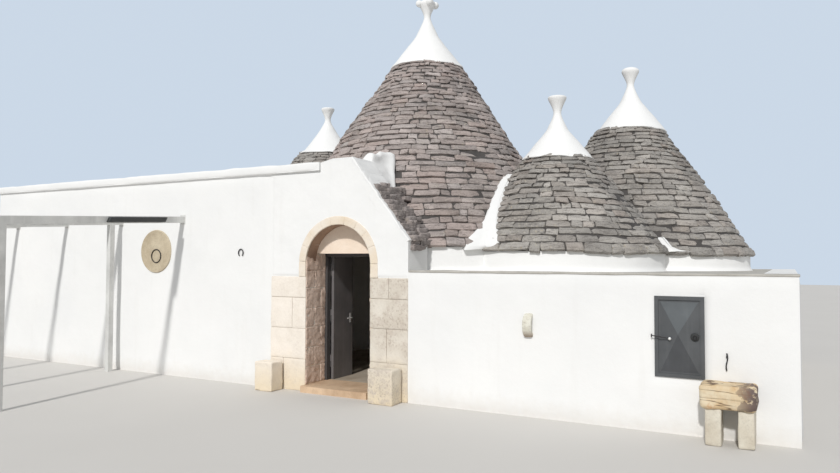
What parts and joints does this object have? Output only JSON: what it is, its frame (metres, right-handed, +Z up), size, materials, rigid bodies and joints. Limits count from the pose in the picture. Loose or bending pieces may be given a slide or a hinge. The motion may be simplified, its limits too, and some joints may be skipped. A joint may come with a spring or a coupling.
{
  "type": "trullo house",
  "caption": "Whitewashed stone house with conical dry-stone roofs, plaster pinnacles, an arched porch and a flat-roofed wing.",
  "frame": {"origin": "on the ground, at the middle of the doorway's front face", "axes": "+X to the right along the front, +Y into the house, +Z up"},
  "size_m": [15.18, 10.7454, 7.2825],
  "materials": {
    "whitewash": "brushed lime wash over masonry",
    "roof_slabs": "dry-laid grey limestone slabs",
    "cut_limestone": "weathered cut limestone",
    "terrace_lime": "worn lime screed",
    "floor_stone": "stone paving",
    "door_paint": "satin dark grey paint",
    "hatch_steel": "dark grey paint",
    "old_iron": "weathered iron",
    "pergola_paint": "white paint"
  },
  "bodies": {
    "house": {"gable_wall": "whitewash", "porch_ridge": "whitewash", "main_drum_left": "whitewash", "main_drum_right": "whitewash", "front_drum": "whitewash", "rear_drum": "whitewash", "left_drum": "whitewash", "right_front_wall": "whitewash", "right_end_wall": "whitewash", "back_wall": "whitewash", "rear_end_wall": "whitewash", "wing_front_wall": "whitewash", "wing_end_wall": "whitewash", "wing_back_wall": "whitewash", "wing_fill": "whitewash", "wing_coping": "whitewash", "main_cap": "whitewash", "front_cap": "whitewash", "rear_cap": "whitewash", "left_cap": "whitewash", "main_cone": "roof_slabs", "front_cone": "roof_slabs", "rear_cone": "roof_slabs", "left_cone": "roof_slabs", "door_pier_left": "cut_limestone", "door_pier_right": "cut_limestone", "arch_ring": "cut_limestone", "tympanum": "cut_limestone", "threshold_stone": "cut_limestone", "door_blocks": "cut_limestone", "bench_slab": "cut_limestone", "bench_legs": "cut_limestone", "hitching_stone": "cut_limestone", "terrace_roof": "terrace_lime", "wing_roof": "terrace_lime", "main_room_floor": "floor_stone", "door_frame": "door_paint", "hatch_frame": "hatch_steel", "hatch_panel": "hatch_steel", "horseshoe": "old_iron", "pergola_rail": "pergola_paint", "pergola_post": "pergola_paint"},
    "left_leaf": {"door_leaf_left": "door_paint", "door_handle": "old_iron"},
    "right_leaf": {"door_leaf_right": "door_paint"}
  },
  "joints": [
    {"name": "left_leaf_hinge", "type": "hinge", "parent": "house", "child": "left_leaf", "pos_m": [-0.555, 0.61, 0], "axis": [0, 0, 1], "range_deg": [-90, 5]},
    {"name": "right_leaf_hinge", "type": "hinge", "parent": "house", "child": "right_leaf", "pos_m": [0.555, 0.61, 0], "axis": [0, 0, 1], "range_deg": [-5, 90]}
  ]
}
